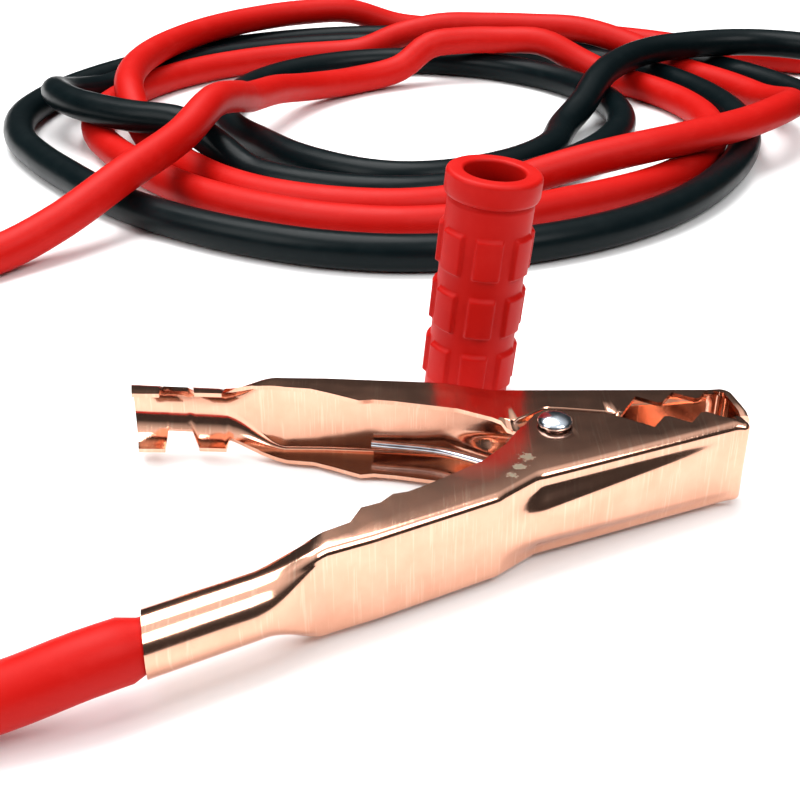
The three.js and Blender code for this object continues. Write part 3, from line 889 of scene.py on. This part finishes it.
def sleeve_mesh(sizes: SleeveSizes, columns: int,
                row_step: float) -> tuple[list[Vector], list[tuple[int, ...]]]:
    """A grip sleeve standing on its open end, with its collar on top.

    Args:
        sizes: What the sleeve measures.
        columns: Points round it.
        row_step: Spacing of its rows.

    Returns:
        Corners and faces; its axis is Z.
    """
    collar_low = sizes.length - sizes.collar
    rows: list[Place] = [(sizes.body_radius - 0.5, 0.0, 0.0), (sizes.body_radius - 0.1, 0.15, 0.0)]
    count = round((collar_low - 1.2) / row_step)
    for k in range(1, count + 1):
        rows.append((sizes.body_radius, 0.4 + (collar_low - 1.0) * k / count, 1.0))
    rows += [(sizes.body_radius - 0.2, collar_low - 0.2, 0.0),
             (sizes.body_radius - 0.25, collar_low + 0.15, 0.0),
             (sizes.rim_radius - 0.25, collar_low + 0.6, 0.0), (sizes.rim_radius, collar_low + 1.3, 0.0),
             (sizes.rim_radius + 0.02, sizes.length - 2.4, 0.0)]
    rim = 0.95
    for k in range(9):
        a = math.radians(90 * k / 8)
        rows.append((sizes.rim_radius - rim + rim * math.cos(a), sizes.length - rim + rim * math.sin(a), 0.0))
    for k in range(7):
        a = math.radians(90 * k / 6)
        rows.append((sizes.mouth_radius + 0.7 * (1 - math.sin(a)),
                     sizes.length - 0.7 * (1 - math.cos(a)), 0.0))
    rows += [(sizes.mouth_radius, sizes.length - sizes.mouth_depth, 0.0),
             (sizes.bore_radius, sizes.length - sizes.mouth_depth - 1.0, 0.0), (sizes.bore_radius, 0.0, 0.0)]
    points = []
    power = 2 / sizes.squareness
    for radius, height, padded in rows:
        for k in range(columns):
            turn = 360 * k / columns
            lift = sizes.pad_height * padded * pad_share(sizes, turn, height)
            a = math.radians(turn)
            c, s = math.cos(a), math.sin(a)
            x = math.copysign(abs(c) ** power, c) * (radius * sizes.squash[0] + lift)
            y = math.copysign(abs(s) ** power, s) * (radius * sizes.squash[1] + lift)
            points.append(Vector((x, y, height)))
    return points, rows_of_quads(len(rows), columns, closed=True)


def loose_sleeve(shop: Shop) -> bpy.types.Object:
    """The sleeve that stands behind the bare clamp: it leans, and its foot is cut level.

    Args:
        shop: Makes and places it.

    Returns:
        The sleeve.
    """
    points, faces = sleeve_mesh(SLEEVE, 224, 0.32)
    lean = Matrix.Rotation(math.radians(LOOSE_SLEEVE_LEAN), 4, "Y")
    sunk = SLEEVE.rim_radius * math.tan(math.radians(LOOSE_SLEEVE_LEAN))
    leaned = [lean @ p - Vector((0, 0, sunk)) for p in points]
    level = [Vector((p.x, p.y, max(0.0, p.z))) for p in leaned]
    matrix = Matrix.Translation((*LOOSE_SLEEVE_PLACE, 0))
    obj = shop.mesh("loose_grip_sleeve", level, faces, matrix, "red_vinyl", sharp=70)
    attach(obj, ROOT_BODY)
    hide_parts("loose_sleeve")
    return obj


def slid_sleeve(shop: Shop) -> bpy.types.Object:
    """The bare clamp's other sleeve, threaded on the red cable.

    Args:
        shop: Makes and places it.

    Returns:
        The sleeve.
    """
    points, faces = sleeve_mesh(SLEEVE, 112, 0.7)
    lying = Matrix.Rotation(-math.pi / 2, 4, "X")
    matrix = Matrix.Translation((*SLID_SLEEVE_START, SLEEVE.rim_radius)) @ lying
    obj = shop.mesh("slid_grip_sleeve", points, faces, matrix, "red_vinyl", sharp=70)
    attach(obj, ROOT_BODY)
    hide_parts("slid_sleeve")
    return obj


def cable_exit(clamp: Clamp) -> tuple[Vector, Vector]:
    """Where a cable leaves a clamp's crimp.

    Args:
        clamp: The clamp.

    Returns:
        The point and the way out, on the floor plan.
    """
    s = SIZES
    slope = math.atan2(s.tail_half_width - s.crimp_half_width, s.crimp_length)
    matrix = clamp.matrix()
    point = matrix @ Vector((-s.handle_reach, s.crimp_radius - s.tail_half_width, 0))
    way = matrix.to_3x3() @ Vector((-math.cos(slope), -math.sin(slope), 0))
    return point, way


def coil_points(coil: Coil) -> list[Vector]:
    """A coil's turns about COIL_CENTRE.

    Args:
        coil: Radii at listed angles, and where it is lifted.

    Returns:
        Points along the turns, on the floor plan.
    """
    knots = [Vector((travel, radius, 0)) for travel, radius in coil.radii]
    fine = curve_through(knots, 4.0)
    table = [(p.x, p.y) for p in fine]
    last = coil.radii[-1][0]
    count = round(last / COIL_STEP)
    points = []
    for k in range(count + 1):
        travel = last * k / count
        radius = along(table, travel)
        angle = math.radians(coil.first_angle + coil.way * travel)
        rise = max(lift.share(travel) for lift in coil.lifts)
        points.append(Vector((COIL_CENTRE[0] + radius * math.cos(angle),
                              COIL_CENTRE[1] + radius * math.sin(angle),
                              FLOOR_CENTRE + CROSSING_RISE * rise)))
    return points


def cable_route(cable: Cable) -> list[Vector]:
    """The line that a cable follows, necks included.

    Args:
        cable: The cable.

    Returns:
        Points along it on the floor plan, none lower than a cable on the floor.
    """
    start, way_out = cable_exit(cable.start)
    end, way_back = cable_exit(cable.end)
    knots = [start - way_out * NECK_LENGTH, start, start + way_out * 8.9]
    knots += [Vector(p) for p in cable.lead_in]
    knots += coil_points(cable.coil)
    knots += [Vector(p) for p in cable.lead_out]
    knots += [end + way_back * 8.9, end, end - way_back * NECK_LENGTH]
    route = curve_through(knots, 4.0)
    for point in route:
        point.z = max(point.z, FLOOR_CENTRE)
    return route


def lay_cable(shop: Shop, cable: Cable) -> bpy.types.Object:
    """One free cable with its necks in the crimps of its two clamps.

    Args:
        shop: Makes and places it.
        cable: The cable.

    Returns:
        The cable.
    """
    route = cable_route(cable)
    start, _ = cable_exit(cable.start)
    travelled = [0.0]
    for a, b in zip(route, route[1:]):
        travelled.append(travelled[-1] + (b - a).length)
    length = travelled[-1]
    points, radii = [], []
    neck = NECK_RADIUS / CORD_RADIUS
    shoulder = (NECK_LENGTH + 0.4, NECK_LENGTH + 0.9, NECK_LENGTH + 1.6, NECK_LENGTH + 2.4)
    for distance, point in zip(travelled, route):
        inside = min(distance, length - distance)
        points.append(point)
        radii.append(neck + (1 - neck) * smooth((inside - shoulder[0]) / (shoulder[-1] - shoulder[0])))
    obj = shop.wire(cable.name, points, CORD_RADIUS, Matrix.Identity(4), cable.vinyl, radii, sides=9)
    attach(obj, ROOT_BODY)
    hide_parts(*cable.nodes)
    log.info("%s is %.3f m long", cable.name, length * MM)
    return obj


class Graph:
    """A small helper to write a shader node tree."""

    def __init__(self, tree: bpy.types.NodeTree) -> None:
        """Take the tree to write in."""
        self.tree = tree

    def add(self, kind: str, **values: object) -> bpy.types.Node:
        """Add a node.

        Args:
            kind: Blender's name for the node type.
            values: Its properties by name or, where it has none so named, its inputs.

        Returns:
            The node.
        """
        node = self.tree.nodes.new(kind)
        for key, value in values.items():
            if hasattr(node, key):
                setattr(node, key, value)
            else:
                node.inputs[key.replace("_", " ")].default_value = value
        return node

    def link(self, source: bpy.types.NodeSocket, target: bpy.types.NodeSocket) -> None:
        """Join two sockets."""
        self.tree.links.new(source, target)

    def ramp(self, source: bpy.types.NodeSocket, stops: Pairs) -> bpy.types.NodeSocket:
        """A grey ramp.

        Args:
            source: What drives it.
            stops: (place, value) pairs.

        Returns:
            The ramp's output.
        """
        node = self.add("ShaderNodeValToRGB")
        elements = node.color_ramp.elements
        while len(elements) < len(stops):
            elements.new(0.5)
        for element, (place, value) in zip(elements, stops):
            element.position = place
            element.color = (value, value, value, 1)
        self.link(source, node.inputs["Fac"])
        return node.outputs["Color"]

    def mix(self, share: bpy.types.NodeSocket, a: object, b: object) -> bpy.types.NodeSocket:
        """A colour mix.

        Args:
            share: How much of b shows.
            a: A colour or a socket.
            b: A colour or a socket.

        Returns:
            The mix's output.
        """
        node = self.add("ShaderNodeMix", data_type="RGBA")
        self.link(share, node.inputs["Factor"])
        for socket, value in ((node.inputs[6], a), (node.inputs[7], b)):
            if isinstance(value, bpy.types.NodeSocket):
                self.link(value, socket)
            else:
                socket.default_value = value
        return node.outputs[2]


def fine_scratches() -> bpy.types.NodeTree:
    """Node group: thin random scratches, as a 0 to 1 mask.

    Returns:
        The group.
    """
    tree = bpy.data.node_groups.new("Fine scratches", "ShaderNodeTree")
    tree.interface.new_socket("Amount", in_out="INPUT", socket_type="NodeSocketFloat").default_value = 0.5
    tree.interface.new_socket("Mask", in_out="OUTPUT", socket_type="NodeSocketFloat")
    g = Graph(tree)
    inputs = g.add("NodeGroupInput")
    outputs = g.add("NodeGroupOutput")
    place = g.add("ShaderNodeTexCoord")
    total = None
    for turn, scale in ((0.5, 2600.0), (1.45, 3400.0), (2.7, 2200.0)):
        mapping = g.add("ShaderNodeMapping")
        mapping.inputs["Rotation"].default_value = (0.5 * turn, 0.3, turn)
        mapping.inputs["Scale"].default_value = (1.0, 0.03, 0.03)
        g.link(place.outputs["Object"], mapping.inputs["Vector"])
        noise = g.add("ShaderNodeTexNoise", Scale=scale, Detail=1.0, Roughness=0.4)
        g.link(mapping.outputs["Vector"], noise.inputs["Vector"])
        line = g.ramp(noise.outputs["Fac"], ((0.0, 0.0), (0.66, 0.0), (0.72, 1.0)))
        if total is None:
            total = line
        else:
            joined = g.add("ShaderNodeMath", operation="MAXIMUM")
            g.link(total, joined.inputs[0])
            g.link(line, joined.inputs[1])
            total = joined.outputs[0]
    scaled = g.add("ShaderNodeMath", operation="MULTIPLY")
    g.link(total, scaled.inputs[0])
    g.link(inputs.outputs["Amount"], scaled.inputs[1])
    g.link(scaled.outputs[0], outputs.inputs["Mask"])
    return tree


def worn_spot() -> bpy.types.NodeTree:
    """Node group: a ragged worn spot about a point.

    Returns:
        The group.
    """
    tree = bpy.data.node_groups.new("Worn spot", "ShaderNodeTree")
    tree.interface.new_socket("Centre", in_out="INPUT", socket_type="NodeSocketVector")
    tree.interface.new_socket("Radius", in_out="INPUT", socket_type="NodeSocketFloat").default_value = 0.002
    tree.interface.new_socket("Mask", in_out="OUTPUT", socket_type="NodeSocketFloat")
    g = Graph(tree)
    inputs = g.add("NodeGroupInput")
    outputs = g.add("NodeGroupOutput")
    place = g.add("ShaderNodeTexCoord")
    distance = g.add("ShaderNodeVectorMath", operation="DISTANCE")
    g.link(place.outputs["Object"], distance.inputs[0])
    g.link(inputs.outputs["Centre"], distance.inputs[1])
    ratio = g.add("ShaderNodeMath", operation="DIVIDE")
    g.link(distance.outputs["Value"], ratio.inputs[0])
    g.link(inputs.outputs["Radius"], ratio.inputs[1])
    noise = g.add("ShaderNodeTexNoise", Scale=1300.0, Detail=4.0, Roughness=0.7)
    g.link(place.outputs["Object"], noise.inputs["Vector"])
    ragged = g.add("ShaderNodeMath", operation="MULTIPLY_ADD")
    g.link(noise.outputs["Fac"], ragged.inputs[0])
    ragged.inputs[1].default_value = 1.2
    g.link(ratio.outputs[0], ragged.inputs[2])
    mask = g.ramp(ragged.outputs[0], ((0.0, 1.0), (0.8, 1.0), (0.98, 0.0)))
    g.link(mask, outputs.inputs["Mask"])
    return tree


def new_material(name: str) -> tuple[bpy.types.Material, Graph, bpy.types.Node]:
    """Start a material.

    Args:
        name: Its name.

    Returns:
        The material, its graph and its principled shader.
    """
    material = bpy.data.materials.new(name)
    material.use_nodes = True
    shader = material.node_tree.nodes["Principled BSDF"]
    return material, Graph(material.node_tree), shader


@dataclass(frozen=True)
class CopperPlating:
    """Bright copper plating on pressed steel: fine scratches, faint clouds and worn spots."""

    bright: Colour = (0.80, 0.44, 0.31, 1)
    dull: Colour = (0.72, 0.37, 0.25, 1)
    scratched: Colour = (0.92, 0.64, 0.48, 1)
    worn: Colour = (0.30, 0.26, 0.19, 1)
    worn_roughness: float = 0.42
    scratch_amount: float = 0.3
    spots: Sequence[tuple[Place, float]] = (
        ((21.3, -48.7, 18.1), 3.4), ((20.0, -51.7, 18.1), 3.2), ((18.4, -54.1, 18.1), 2.6),
        ((60.0, -40.5, 18.1), 1.8),
    )

    def material(self, shop: Shop) -> bpy.types.Material:
        """Make the material.

        Args:
            shop: Places the worn spots.

        Returns:
            The material.
        """
        material, g, shader = new_material("copper_plating")
        shader.inputs["Metallic"].default_value = 1.0
        place = g.add("ShaderNodeTexCoord")
        clouds = g.add("ShaderNodeTexNoise", Scale=120.0, Detail=5.0, Roughness=0.6)
        g.link(place.outputs["Object"], clouds.inputs["Vector"])
        grime = g.ramp(clouds.outputs["Fac"], ((0.35, 0.0), (0.7, 1.0)))
        colour = g.mix(grime, self.bright, self.dull)
        scratches = g.add("ShaderNodeGroup")
        scratches.node_tree = fine_scratches()
        scratches.inputs["Amount"].default_value = self.scratch_amount
        colour = g.mix(scratches.outputs["Mask"], colour, self.scratched)
        spot_tree = worn_spot()
        whole = shop.place(Matrix.Identity(4))
        worn = None
        for centre, radius in self.spots:
            spot = g.add("ShaderNodeGroup")
            spot.node_tree = spot_tree
            spot.inputs["Centre"].default_value = whole @ Vector(centre)
            spot.inputs["Radius"].default_value = radius * MM
            if worn is None:
                worn = spot.outputs["Mask"]
            else:
                joined = g.add("ShaderNodeMath", operation="MAXIMUM")
                g.link(worn, joined.inputs[0])
                g.link(spot.outputs["Mask"], joined.inputs[1])
                worn = joined.outputs[0]
        colour = g.mix(worn, colour, self.worn)
        g.link(colour, shader.inputs["Base Color"])
        rough = g.ramp(clouds.outputs["Fac"], ((0.3, 0.10), (0.75, 0.19)))
        rough = g.mix(worn, rough, (*(self.worn_roughness,) * 3, 1))
        g.link(rough, shader.inputs["Roughness"])
        bump = g.add("ShaderNodeBump", Strength=0.25, Distance=0.00003)
        g.link(scratches.outputs["Mask"], bump.inputs["Height"])
        wave = g.add("ShaderNodeTexNoise", Scale=55.0, Detail=2.0)
        g.link(place.outputs["Object"], wave.inputs["Vector"])
        pressed = g.add("ShaderNodeBump", Strength=0.3, Distance=0.0004)
        g.link(wave.outputs["Fac"], pressed.inputs["Height"])
        g.link(pressed.outputs["Normal"], bump.inputs["Normal"])
        g.link(bump.outputs["Normal"], shader.inputs["Normal"])
        return material


@dataclass(frozen=True)
class BrightPlating:
    """Bright plated steel of the rivets and springs."""

    dull: Colour = (0.42, 0.47, 0.54, 1)
    bright: Colour = (0.66, 0.72, 0.80, 1)

    def material(self) -> bpy.types.Material:
        """Make the material.

        Returns:
            The material.
        """
        material, g, shader = new_material("bright_plating")
        shader.inputs["Metallic"].default_value = 1.0
        place = g.add("ShaderNodeTexCoord")
        clouds = g.add("ShaderNodeTexNoise", Scale=400.0, Detail=4.0)
        g.link(place.outputs["Object"], clouds.inputs["Vector"])
        share = g.ramp(clouds.outputs["Fac"], ((0.3, 0.0), (0.7, 1.0)))
        g.link(g.mix(share, self.dull, self.bright), shader.inputs["Base Color"])
        rough = g.ramp(clouds.outputs["Fac"], ((0.3, 0.12), (0.7, 0.26)))
        g.link(rough, shader.inputs["Roughness"])
        return material


@dataclass(frozen=True)
class Vinyl:
    """Soft moulded vinyl: a fine grain, faint dust and uneven gloss."""

    name: str
    colour: Colour
    dusty: Colour
    roughness: tuple[float, float]
    gloss: float

    def material(self) -> bpy.types.Material:
        """Make the material.

        Returns:
            The material.
        """
        material, g, shader = new_material(self.name)
        place = g.add("ShaderNodeTexCoord")
        dust = g.add("ShaderNodeTexNoise", Scale=160.0, Detail=8.0, Roughness=0.7)
        g.link(place.outputs["Object"], dust.inputs["Vector"])
        share = g.ramp(dust.outputs["Fac"], ((0.5, 0.0), (0.85, 1.0)))
        g.link(g.mix(share, self.colour, self.dusty), shader.inputs["Base Color"])
        low, high = self.roughness
        g.link(g.ramp(dust.outputs["Fac"], ((0.3, low), (0.75, high))), shader.inputs["Roughness"])
        shader.inputs["Specular IOR Level"].default_value = self.gloss
        grain = g.add("ShaderNodeTexNoise", Scale=2600.0, Detail=3.0)
        g.link(place.outputs["Object"], grain.inputs["Vector"])
        bump = g.add("ShaderNodeBump", Strength=0.18, Distance=0.00006)
        g.link(grain.outputs["Fac"], bump.inputs["Height"])
        slow = g.add("ShaderNodeTexNoise", Scale=70.0, Detail=2.0)
        g.link(place.outputs["Object"], slow.inputs["Vector"])
        wavy = g.add("ShaderNodeBump", Strength=0.25, Distance=0.0005)
        g.link(slow.outputs["Fac"], wavy.inputs["Height"])
        g.link(wavy.outputs["Normal"], bump.inputs["Normal"])
        g.link(bump.outputs["Normal"], shader.inputs["Normal"])
        return material


def make_finishes(shop: Shop) -> None:
    """Make all of the object's materials, by the record's slots.

    Args:
        shop: Keeps them.
    """
    red = Vinyl("red_vinyl", (0.45, 0.004, 0.002, 1), (0.49, 0.010, 0.007, 1), (0.42, 0.56), 0.13)
    black = Vinyl("black_vinyl", (0.0015, 0.0045, 0.0055, 1), (0.0035, 0.0075, 0.0085, 1), (0.27, 0.38), 0.09)
    shop.finishes = {
        "copper": CopperPlating().material(shop),
        "chrome": BrightPlating().material(),
        "red_vinyl": red.material(),
        "black_vinyl": black.material(),
    }


@dataclass(frozen=True)
class PaleFloor:
    """The pale matt floor."""

    shades: Pairs = ((0.3, 0.88), (0.7, 0.93))
    roughness: float = 0.7

    def material(self) -> bpy.types.Material:
        """Make the material.

        Returns:
            The material.
        """
        material, g, shader = new_material("floor")
        place = g.add("ShaderNodeTexCoord")
        cloud = g.add("ShaderNodeTexNoise", Scale=2.5, Detail=2.0)
        g.link(place.outputs["Object"], cloud.inputs["Vector"])
        g.link(g.ramp(cloud.outputs["Fac"], self.shades), shader.inputs["Base Color"])
        shader.inputs["Roughness"].default_value = self.roughness
        return material


@dataclass(frozen=True)
class Softbox:
    """A square area light; its offset is in metres from the point that it is turned towards."""

    name: str
    offset: Place
    size: float
    power: float

    def hang(self, look_at: Vector) -> None:
        """Add the light.

        Args:
            look_at: What it is turned towards.
        """
        offset = Vector(self.offset)
        data = bpy.data.lights.new(self.name, "AREA")
        data.size = self.size
        data.energy = self.power
        light = bpy.data.objects.new(self.name, data)
        light.location = look_at + offset
        light.rotation_euler = (-offset).to_track_quat("-Z", "Y").to_euler()
        bpy.context.collection.objects.link(light)


@dataclass(frozen=True)
class Studio:
    """The floor's side in metres, the lights, and the camera's place on the floor plan, tilt and lens."""

    floor_side: float = 6.0
    sky: Pairs = ((0.0, 0.05), (0.52, 0.06), (0.78, 0.7), (0.95, 1.2))
    aim: Place = (0.0, 0.08, 0.0)
    softboxes: Sequence[Softbox] = (
        Softbox("back softbox", (-0.2, 0.3, 1.0), 0.8, 15.0),
        Softbox("right softbox", (0.5, -0.55, 0.8), 0.5, 5.5),
        Softbox("left softbox", (-0.7, -0.4, 0.6), 0.5, 4.5),
    )
    camera_place: Place = (0.0, -219.1, 127.6)
    camera_tilt: float = 60.0
    lens: float = 54.0
    sensor: float = 36.0


STUDIO = Studio()


def set_stage(shop: Shop) -> None:
    """Set up the floor, world, lights and camera.

    Args:
        shop: Places the camera.
    """
    bpy.ops.mesh.primitive_plane_add(size=STUDIO.floor_side)
    floor = bpy.context.object
    floor.name = "floor"
    floor.data.materials.append(PaleFloor().material())

    world = bpy.data.worlds.new("studio")
    bpy.context.scene.world = world
    world.use_nodes = True
    g = Graph(world.node_tree)
    background = world.node_tree.nodes["Background"]
    place = g.add("ShaderNodeTexCoord")
    split = g.add("ShaderNodeSeparateXYZ")
    g.link(place.outputs["Generated"], split.inputs["Vector"])
    sky = g.ramp(split.outputs["Z"], STUDIO.sky)
    g.link(sky, background.inputs["Color"])
    background.inputs["Strength"].default_value = 1.0

    for softbox in STUDIO.softboxes:
        softbox.hang(shop.shift + Vector(STUDIO.aim))

    lens = bpy.data.cameras.new("camera")
    lens.lens = STUDIO.lens
    lens.sensor_width = STUDIO.sensor
    camera = bpy.data.objects.new("camera", lens)
    camera.location = shop.place(Matrix.Identity(4)) @ Vector(STUDIO.camera_place)
    camera.rotation_euler = (math.radians(STUDIO.camera_tilt), 0.0, 0.0)
    bpy.context.collection.objects.link(camera)
    bpy.context.scene.camera = camera
    bpy.context.scene.view_settings.view_transform = "Standard"


def main() -> None:
    """Load the frame, dress it and light it."""
    logging.basicConfig(level=logging.INFO)
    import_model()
    shop = Shop()
    make_finishes(shop)
    pieces = []
    for clamp in CLAMPS:
        pieces += ClampMaker(shop, clamp).build()
    pieces += [loose_sleeve(shop), slid_sleeve(shop)]
    for cable in (RED_CABLE, BLACK_CABLE):
        pieces.append(lay_cable(shop, cable))
    for piece in pieces:
        log.info("made %s", piece.name)
    set_stage(shop)


if __name__ == "__main__":
    main()
